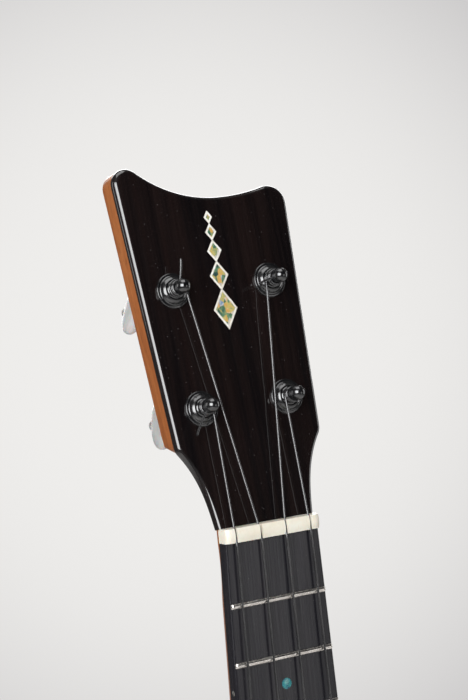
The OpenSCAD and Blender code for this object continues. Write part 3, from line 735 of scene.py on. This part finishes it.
def make_headstock():
    """The headplate on its core, with bores for the tuners and an inlay of lozenges."""
    loop = head_loop()
    bores = [circle(t.x, t.v, BORE_R) for t in TUNERS]
    stones = [lozenge(*stone) for stone in STONES]
    plate = slab(loop, round_edge(PLATE_EDGE, -PLATE_T, 0), head, bores, stones, STONE_DEPTH,
                 open_foot=True)
    piece("headplate_polished", plate, "ebony_gloss", "headplate")
    sharp_top = 0.001
    core = slab(loop, round_edge(sharp_top, CORE_BACK, -PLATE_T, CORE_EDGE), head, bores, open_foot=True,
                carve=carved)
    piece("headstock_core", core, "koa_head", "headstock")
    proud, soft = 0.015, 0.04
    edge = [(0, -STONE_DEPTH), (0, proud - soft), (soft, proud)]
    middles = [lozenge(*stone, STONE_RIM) for stone in STONES]
    borders = [slab(outer, edge, head, [inner]) for outer, inner in zip(stones, middles)]
    piece("inlay_pearl_border", joined(borders), "pearl_inlay", "head_inlay_border")
    fillings = [slab(inner, edge, head) for inner in middles]
    piece("inlay_abalone", joined(fillings), "abalone", "head_inlay_core")


# ---------- nut, fingerboard and frets ----------

def board_half(u):
    return (NUT_W - BOARD_TAPER * u) / 2


def fret_u(n):
    return -SCALE * (1 - 2 ** (-n / 12))


def string_x(i, pitch):
    return (i - 1.5) * pitch


def nut_top(t):
    """Height of the nut above the fingerboard at t, from 0 at its front edge to 1 at its back."""
    return 1.0 + 0.9 * math.sin(math.pi * min(1, 0.12 + t * 0.78)) ** 0.7


def make_nut():
    """A bone nut with rounded ends and a sloping slot for each string."""
    end_r, end_fall, slot_r, steps = 2.2, 0.62, STRING_R + 0.07, 14
    string_n, slot_fall = 1.2, 0.55
    half = NUT_W / 2
    stations = {round(-half + NUT_W * i / 60, 4) for i in range(61)}
    ends = [half - end_r * (1 - math.cos(math.pi / 2 * i / 10)) for i in range(11)]
    stations |= {round(sign * x, 4) for x in ends for sign in (-1, 1)}
    for i in range(4):
        stations |= {round(string_x(i, NUT_PITCH) + slot_r * k / 5, 4) for k in range(-6, 7)}
    rings = []
    for x in sorted(stations):
        edge = max(0.0, (abs(x) - half + end_r) / end_r)
        sink = end_r * end_fall * (1 - math.sqrt(max(0.0, 1 - edge ** 2)))
        ring = [(0, -BOARD_T), (0, -0.4)]
        for k in range(steps + 1):
            t = k / steps
            n = nut_top(t) - sink
            for i in range(4):
                off = abs(x - string_x(i, NUT_PITCH))
                if off <= slot_r:
                    n = min(n, string_n - t * slot_fall - math.sqrt(slot_r ** 2 - off ** 2))
            ring.append((NUT_T * (0.02 + 0.98 * t), n))
        ring += [(NUT_T, 0.3), (NUT_T, -HEAD_DROP), (NUT_T - 0.6, -BOARD_T)]
        rings.append([front(x, u, n) for u, n in ring])
    piece("nut_bone", skin(rings), "bone", "nut")


def make_fingerboard():
    """The tapering board with rolled long edges."""
    roll, low = 0.9, -BOARD_T
    rings = []
    for k in range(41):
        u = -BOARD_LEN * k / 40
        half = board_half(u)
        side = [(half, low), (half, -roll)] + arc(half - roll, -roll, roll, 12, 90, 7)
        rings.append([front(x, u, n) for x, n in side + mirrored(side)])
    piece("fingerboard_oiled", skin(rings), "ebony_satin", "fingerboard")


def fret(n):
    """One fret: a crowned wire with bevelled, rounded ends."""
    u, short, bevel = fret_u(n), 0.35, 0.95
    half = board_half(u) - short
    angles = [math.pi * i / 12 for i in range(13)]
    tang = [(-0.25, -0.02), (-0.25, -1.8), (0.25, -1.8), (0.25, -0.02)]
    stations = [-half + bevel * i / 6 for i in range(7)]
    stations += [half - bevel * i / 6 for i in range(6, -1, -1)]
    rings = []
    for x in stations:
        e = min(1.0, (half - abs(x)) / bevel)
        k = 0.2 + 0.8 * math.sqrt(1 - (1 - e) ** 2)
        wide, high = FRET_HALF * (0.55 + 0.45 * k), FRET_H * k
        crown = [(wide * math.cos(a), high * math.sin(a)) for a in angles]
        rings.append([front(x, u + s, h) for s, h in crown + tang])
    return skin(rings)


def dot_places():
    for n in DOT_FRETS:
        u = (fret_u(n) + fret_u(n - 1)) / 2
        for x in ((-9, 9) if n == 12 else (0,)):
            yield x, u


def make_fretting():
    frets = joined([fret(n) for n in range(1, FRETS + 1)])
    piece("frets_dressed", frets, "nickel_silver", "frets")
    dots = joined([slab(circle(x, u, DOT_R, 48), inlaid(DOT_DEPTH), front) for x, u in dot_places()])
    piece("position_dots_abalone", dots, "abalone_dot", "position_dots")
    finish_node("side_dots", "pearl_inlay")


# ---------- neck ----------

def neck_depth(u):
    """Depth of neck and fingerboard together at a place along it."""
    heel = max(0.0, (JOINT_U + HEEL_RUN - u) / HEEL_RUN)
    rise = min(1.0, max(0.0, (u - BLEND_U) / 26))
    step = (NECK_DEPTH - JOINT_DEPTH) * (3 * rise ** 2 - 2 * rise ** 3)
    return NECK_DEPTH - NECK_SLOPE * u + HEEL_SWELL * heel ** 3 - step


def neck_half(u, depth):
    """Half width of the neck: an arc that turns into the core's section above and a full heel below."""
    wide, deep = board_half(min(u, 0)), neck_depth(u) - BOARD_T
    q = min(1.0, (depth - BOARD_T) / deep)
    arc_r = (wide ** 2 + deep ** 2) / (2 * deep)
    arc_x = math.sqrt(max(0.0, arc_r ** 2 - (q * deep + arc_r - deep) ** 2))
    head_x = (wide - UNDERCUT * max(0.0, depth - BOARD_T - 1)) * (1 - q ** 12) ** (1 / 12)
    low = max(0.0, (depth - SHAFT_CLIP) / (HEEL_CLIP - SHAFT_CLIP))
    heel_x = wide * (1 - q ** 2.2) ** (1 / 2.2) * (1 - 0.55 * low ** 1.4)
    to_head = min(1.0, max(0.0, 1 - u / BLEND_U)) ** 2
    to_heel = min(1.0, max(0.0, JOINT_U + HEEL_RUN - u) / (0.4 * HEEL_RUN))
    return max(0.02, arc_x * (1 - to_head) * (1 - to_heel) + head_x * to_head + heel_x * to_heel)


def neck_ring(u, start, end, lean=0.0, steps=28):
    """The neck's section between two depths; with lean at 1 it lies in the joint with the headstock."""
    depths = [start + (end - start) * math.sin(math.pi / 2 * i / steps) for i in range(steps + 1)]
    side = [(neck_half(u, d), d) for d in depths]
    return [front(x, u + lean * (BOARD_T - d) * math.tan(TILT), -d) for x, d in side + mirrored(side)]


def make_neck():
    """The carved shaft, the heel stacked under it and the heel's cap."""
    seat_u = NUT_T - (BOARD_T - HEAD_DROP) * math.tan(TILT)
    stations = [JOINT_U + (seat_u - JOINT_U) * (i / 90) for i in range(90)]
    rings = [neck_ring(u, BOARD_T, min(SHAFT_CLIP, neck_depth(u)), lean=max(0.0, (u + 8) / (seat_u + 8)))
             for u in stations]
    rings.append(neck_ring(seat_u, BOARD_T, JOINT_DEPTH, 1.0))
    piece("neck_carved", skin(rings), "koa", "neck_shaft")
    first = JOINT_U + HEEL_RUN * 0.75
    stations = [JOINT_U + (first - JOINT_U) * i / 40 for i in range(41)]
    depths = [max(SHAFT_CLIP + 0.02, min(HEEL_CLIP, neck_depth(u))) for u in stations]
    rings = [neck_ring(u, SHAFT_CLIP, depth) for u, depth in zip(stations, depths)]
    piece("heel_carved", skin(rings), "koa", "heel")
    run = HEEL_RUN * (1 - ((HEEL_CLIP - NECK_DEPTH) / HEEL_SWELL) ** (1 / 3))
    side = [(neck_half(JOINT_U + run * i / 20, HEEL_CLIP), JOINT_U + run * i / 20) for i in range(21)]
    cap = slab(distinct(side + mirrored(side)), [(0.5, 0), (0.15, 0.15), (0, 0.5), (0, CAP_THICK)],
               lambda x, u, h: front(x, u, h - HEEL_CLIP - CAP_THICK))
    piece("heel_cap_ebony", cap, "ebony_trim", "heel_cap")


# ---------- tuners and strings ----------

def post_profile():
    """The turned post, from its foot to the top of its cap."""
    skirt_low, skirt_top, neck_low, collar_r = -18, CORE_BACK - 3.35, 1.45, 3.6
    seat = BUTTON_H + BUTTON_SIZE[1] / 2
    stem = [(SPINDLE_R, seat), (collar_r, seat), (SKIRT_R - 0.5, -20), (SKIRT_R, skirt_low),
            (SKIRT_R, skirt_top), (SHAFT_R, skirt_top), (SHAFT_R, neck_low), (3.3, neck_low),
            (3.3, 2.55), (3.05, 2.9), (2.6, 3.1), (WAIST_R, 3.25), (WAIST_R, CAP_H - 1.1),
            (WAIST_R + 0.1, CAP_H - 0.85), (CAP_R - 0.15, CAP_H - 0.75), (CAP_R - 0.05, CAP_H - 0.6)]
    cap = arc(0, CAP_H, CAP_R, -8, 90, 18)[:-1]
    foot = [(0, BUTTON_H - 3.5), (SPINDLE_R, BUTTON_H - 3.5)]
    return foot + rounded(stem, 0.25, 3) + cap + [(0, CAP_H + CAP_R)]


def paddle(tuner):
    """A pearl button: a pillow with soft rims."""
    place = at_tuner(tuner, tuner.button_turn)
    wide, tall, thick = (s / 2 for s in BUTTON_SIZE)
    around, across, outline, power = 72, 28, 2.3, 2.7
    rings = []
    for k in range(across + 1):
        a = math.pi * k / across - math.pi / 2
        scale = max(1e-4, abs(math.cos(a)) ** (2 / power))
        y = thick * math.copysign(abs(math.sin(a)) ** (2 / power), a)
        ring = []
        for i in range(around):
            t = math.tau * i / around
            reach = abs(math.cos(t) / wide) ** outline + abs(math.sin(t) / tall) ** outline
            reach = reach ** (-1 / outline)
            ring.append(place(scale * reach * math.cos(t), y, BUTTON_H + scale * reach * math.sin(t)))
        rings.append(ring)
    verts, faces, _ = skin(rings)
    return verts, faces, ()


def touch_point(i):
    """Where string i, from the back of the nut, meets the winding on its post."""
    start, radius = Vector((string_x(i, NUT_PITCH), 0)), WAIST_R + STRING_R + TUNERS[i].lap
    run = Vector((TUNERS[i].x, TUNERS[i].v)) - start
    turn = math.atan2(run.y, run.x) + (-1 if i < 2 else 1) * math.asin(radius / run.length)
    reach = math.sqrt(run.length ** 2 - radius ** 2)
    return start + Vector((math.cos(turn), math.sin(turn))) * reach


def make_string(i):
    """A string's own run: knot, bridge slot, saddle, nut, and straight on to its winding."""
    name, touch = TUNERS[i].name, touch_point(i)
    x, low = string_x(i, NUT_PITCH), string_x(i, SADDLE_PITCH)
    route = [front(low, BRIDGE_U - 6.2, -2.8), front(low, BRIDGE_U - 5.7, 3.3), front(low, SADDLE_U, 6),
             front(x, 0, 1.2), head(x + (touch.x - x) * 0.04, 0, 2.9), head(touch.x, touch.y, COIL_H)]
    smooth = rounded(route, 2.2 * MM, 8)
    knot = []
    for k in range(37):
        a = math.tau * k / 36
        offset = Vector((0.9 * math.cos(a), 0.5 * math.sin(2 * a) + 0.2, 0.9 * math.sin(a)))
        knot.append(route[0] + offset * MM)
    run = joined([tube(smooth, STRING_R, 16), tube(knot, STRING_R, 12)])
    piece("string_run_" + name, run, "nylon_string", "string_" + name)


def make_winding(i):
    """The winding on the post's waist and the cut tail that comes out of the post's hole."""
    tuner = TUNERS[i]
    sense = 1 if i < 2 else -1
    centre, touch = Vector((tuner.x, tuner.v)), touch_point(i)
    start = math.atan2(touch.y - centre.y, touch.x - centre.x)
    leave = math.radians(tuner.tail_turn + 180)
    turns = (sense * (leave - start)) % math.tau + math.tau * 2
    radius, steps = WAIST_R + STRING_R - 0.02, 90
    top = HOLE_H - 0.05
    points = []
    for k in range(steps + 1):
        t = k / steps
        angle = start + sense * turns * t
        rise = COIL_H + (top - COIL_H) * (t ** 1.15)
        wobble = 0.05 * math.sin(5.0 * angle + i)
        out = radius + wobble * 0.4 + tuner.lap * max(0.0, 1 - 2.2 * t) ** 0.6
        x, v = centre.x + out * math.cos(angle), centre.y + out * math.sin(angle)
        points.append(head(x, v, rise + wobble))
    # Every point but the first is moved on by 0.1 mm, and the last is left out
    coil = tube(rounded(points, 0.1 * MM, 1)[::2], STRING_R, 12)
    place = at_tuner(tuner, tuner.tail_turn)
    inside, curl, lift = radius * 0.6, 2.16, 0.5
    tail = []
    for k in range(15):
        t = k / 14
        along = (tuner.tail_reach + inside) * t - inside
        tail.append(place(along, curl * max(0, t - 0.6) ** 2, HOLE_H + lift * t * t))
    winding = joined([coil, tube(tail, STRING_R, 12)])
    piece("string_winding_" + tuner.name, winding, "nylon_string", "string_end_" + tuner.name,
          "tuner_" + tuner.name)


def make_tuners():
    """The fixed parts round the bores, then each tuner with its button, screw and string."""
    for part, profile, node, paint, slot in (
        ("bushings_plated", BUSHING, "tuner_bushings", "black_satin", "black_metal"),
        ("ferrules_plated", FERRULE, "tuner_ferrules", "black_satin", "black_metal"),
        ("washers_nylon", WASHER, "friction_washers", "nylon_washer", "nylon_washer"),
    ):
        profile = rounded(profile, 0.3, 4, closed=True)
        piece(part, joined([lathe(profile, at_tuner(t)) for t in TUNERS]), paint, node)
    for i, tuner in enumerate(TUNERS):
        name, body = tuner.name, "tuner_" + tuner.name
        post = lathe(post_profile(), at_tuner(tuner))
        piece("post_plated_" + name, post, "black_metal", "post_" + name, body)
        button = paddle(tuner)
        piece("button_pearl_" + name, button, "pearl_button", "button_" + name, body)
        finish_node("button_screw_" + name, "screw_steel")
        make_string(i)
        make_winding(i)


# ---------- body ----------

def make_body():
    """The hollow body, its trim and bridge; the parts inside it keep the CAD's shapes."""
    loop = body_loop()
    plate = inset(loop, BINDING_W)
    hole = circle(0, HOLE_U, HOLE_R, 120)
    board = slab(plate, [(0, -BOARD_T - PLATE_WALL), (0, -BOARD_T)], front, [hole])
    piece("soundboard_koa", board, "koa_top", "soundboard")
    back = slab(plate, [(0, BODY_BACK), (0, BODY_BACK + PLATE_WALL)], front)
    piece("back_koa", back, "koa_top", "back_plate")
    edge = 0.9
    top_section = [(BINDING_W, -BOARD_T - BINDING_H), (0, -BOARD_T - BINDING_H)]
    top_section += [(edge * (1 - math.cos(a)), -BOARD_T - edge + edge * math.sin(a))
                    for a in (math.pi / 2 * i / 6 for i in range(7))] + [(BINDING_W, -BOARD_T)]
    back_section = [(d, BODY_BACK - BOARD_T - h) for d, h in top_section]
    for name, section in (("top", top_section), ("back", back_section)):
        binding = band(loop, section, front)
        piece(name + "_binding_ebony", binding, "ebony_trim", name + "_binding")
    low, high = BODY_BACK + BINDING_H, -BOARD_T - BINDING_H
    rim = [(x, u) for x, u in body_half() if x > STRIP_HALF or u > HOLE_U]
    section = [(0, low), (0, high), (RIM_T, high), (RIM_T, low)]
    for side, sign in (("left", -1), ("right", 1)):
        bent = band(rim, section, lambda x, u, n: front(sign * x, u, n), closed=False)
        piece(f"rim_{side}_koa", bent, "koa_side", "rim_" + side)
    finish_node("end_strip", "ebony_trim")
    inner, outer = (circle(0, HOLE_U, r, 120) for r in ROSETTE)
    ring = slab(outer, inlaid(ROSETTE_DEPTH), lambda x, u, h: front(x, u, h - BOARD_T), [inner])
    piece("rosette_abalone", ring, "abalone_ring", "rosette")
    for node in ("neck_block", "tail_block", "top_lining_left", "top_lining_right", "back_lining_left",
                 "back_lining_right", "cross_braces", "fan_braces", "bridge_patch", "sound_hole_ring",
                 "back_braces", "neck_dowels"):
        finish_node(node, "spruce")
    finish_node("bridge", "ebony_satin", 0.5)
    finish_node("saddle", "bone", 0.25)


# ---------- studio ----------

# What the lights point at, and the direction in which the backdrop is palest, beyond the headstock
HEAD_MIDDLE = Vector((0, 0.012, 0.06))
BODY_MIDDLE = Vector((0, 0.03, -0.2))
LIGHTEST = Vector((0.464, 0.884, -0.06)).normalized()
BACKDROP_EDGE = (0.505, 0.495, 0.502, 1)
BACKDROP_MIDDLE = (0.862, 0.852, 0.836, 1)
ROOM_COLOUR = (1.0, 0.99, 0.98, 1)
ROOM_LIGHT = 0.1
# The photo's camera, as fitted to the edges of the headstock, nut, frets and tuners
LENS = 105.43
CAMERA_PLACE = (-0.3442, -0.60208, 0.10661)
CAMERA_FORWARD = (0.48675, 0.87143, -0.06064)
CAMERA_UP = (0.11439, 0.00524, 0.99342)
FLOOR_R = 1.8


def direction(azimuth, elevation):
    """A unit vector from the object; azimuth, in degrees, is 0 in front and 90 on the bass side."""
    a, e = math.radians(azimuth), math.radians(elevation)
    return Vector((-math.sin(a) * math.cos(e), -math.cos(a) * math.cos(e), math.sin(e)))


def softbox(name, azimuth, elevation, distance, width, height, power, colour=(1, 1, 1),
            target=HEAD_MIDDLE):
    light = bpy.data.lights.new(name, "AREA")
    light.shape = "RECTANGLE"
    light.size, light.size_y = width, height
    light.energy = power
    light.color = colour
    made = placed(name, light)
    made.location = target + direction(azimuth, elevation) * distance
    made.rotation_euler = (target - made.location).to_track_quat("-Z", "Y").to_euler()
    made.visible_camera = False


def make_world():
    """A pale backdrop for the camera, and a softer, darker room for the light and the reflections."""
    world = bpy.data.worlds.new("studio")
    bpy.context.scene.world = world
    world.use_nodes = True
    tree = world.node_tree
    tree.nodes.clear()

    way = add_node(tree, "ShaderNodeTexCoord", {}, "Generated")

    def cone(middle, edge, full, low, high):
        """Goes from low to high as the cosine to the middle direction goes from edge to full."""
        cosine = add_node(tree, "ShaderNodeVectorMath", {0: way, 1: tuple(middle)}, "Value",
                          operation="DOT_PRODUCT")
        inputs = {"Value": cosine, "From Min": edge, "From Max": full, "To Min": low, "To Max": high}
        return add_node(tree, "ShaderNodeMapRange", inputs, interpolation_type="SMOOTHSTEP")

    pale = cone(LIGHTEST, 0.962, 1.0, 0.0, 1.0)
    backdrop = add_node(tree, "ShaderNodeMix", {0: pale, 6: BACKDROP_EDGE, 7: BACKDROP_MIDDLE}, 2,
                        data_type="RGBA")
    shade = cone(direction(-30, 20), 0.62, 0.93, ROOM_LIGHT, 0.0)
    behind = cone(LIGHTEST, 0.90, 0.98, 0.0, 0.4)
    table = cone(direction(-29, -6), 0.968, 0.992, 0.0, 1.4)
    room = add_node(tree, "ShaderNodeMath", {0: shade, 1: behind}, operation="MAXIMUM")
    room = add_node(tree, "ShaderNodeMath", {0: room, 1: table}, operation="MAXIMUM")
    seen = add_node(tree, "ShaderNodeLightPath", {}, "Is Camera Ray")
    camera_side = add_node(tree, "ShaderNodeBackground", {"Color": backdrop, "Strength": 1.0})
    light_side = add_node(tree, "ShaderNodeBackground", {"Color": ROOM_COLOUR, "Strength": room})
    both = add_node(tree, "ShaderNodeMixShader", {0: seen, 1: light_side, 2: camera_side})
    tree.links.new(both, tree.nodes.new("ShaderNodeOutputWorld").inputs[0])


def make_floor():
    """A pale round floor under the body that fades out into the backdrop."""
    turns = [math.tau * i / 96 for i in range(96)]
    rings = [[Vector((r * math.cos(a), r * math.sin(a), cad_box[0].z)) for a in turns]
             for r in (0.0005, 0.5, 1.0, FLOOR_R)]
    verts, faces, _ = skin(rings, caps=False)
    mesh = bpy.data.meshes.new("floor")
    mesh.from_pydata([tuple(v) for v in verts], [], faces)
    floor = placed("floor", mesh)
    paint = Paint("pale_floor", Roughness=0.7)
    place = paint.add("ShaderNodeTexCoord", {}, "Object")
    reach = paint.add("ShaderNodeVectorMath", {0: place}, "Value", operation="LENGTH")
    inputs = {"Value": reach, "From Min": 0.55, "From Max": 1.5, "To Min": 1.0, "To Max": 0.0}
    fade = paint.add("ShaderNodeMapRange", inputs, interpolation_type="SMOOTHSTEP")
    grain = paint.noise((40, 40, 40), 3)
    colour = paint.ramp(grain, [(0.3, (0.72, 0.71, 0.70)), (0.7, (0.76, 0.75, 0.74))])
    paint.link(Base_Color=colour, Alpha=fade)
    mesh.materials.append(paint.material)


def make_camera():
    """A long lens in front of the headstock, on the bass side."""
    camera = bpy.data.cameras.new("camera")
    camera.lens = LENS
    camera.sensor_width = 36
    camera.clip_start = 0.01
    made = placed("camera", camera)
    forward = Vector(CAMERA_FORWARD).normalized()
    right = forward.cross(Vector(CAMERA_UP)).normalized()
    turn = Matrix((right, right.cross(forward), -forward)).transposed()
    made.matrix_world = Matrix.Translation(CAMERA_PLACE) @ turn.to_4x4()
    bpy.context.scene.camera = made


def make_lights():
    """Lights in front of the headstock, over the body and behind it."""
    softbox("key_left", 46, 15, 1.2, 1.0, 0.85, 17.5, (0.98, 0.99, 1.0))
    softbox("side_left", 122, 12, 1.2, 0.3, 0.6, 1.2, (1.0, 0.99, 0.97))
    softbox("body_key", 40, 20, 1.5, 0.8, 0.8, 4, target=BODY_MIDDLE)
    softbox("top", 10, 82, 1.4, 0.9, 0.9, 6, target=BODY_MIDDLE)
    softbox("back_right", -150, 25, 1.6, 0.9, 1.2, 12, target=BODY_MIDDLE)
    softbox("back_left", 192, 25, 1.6, 0.9, 1.2, 6, target=BODY_MIDDLE)
    softbox("right", -85, 10, 1.4, 0.5, 1.0, 3, target=BODY_MIDDLE)


make_camera()
make_headstock()
make_nut()
make_fingerboard()
make_fretting()
make_neck()
make_tuners()
make_body()
make_world()
make_floor()
make_lights()

bpy.context.scene.view_settings.view_transform = "Standard"
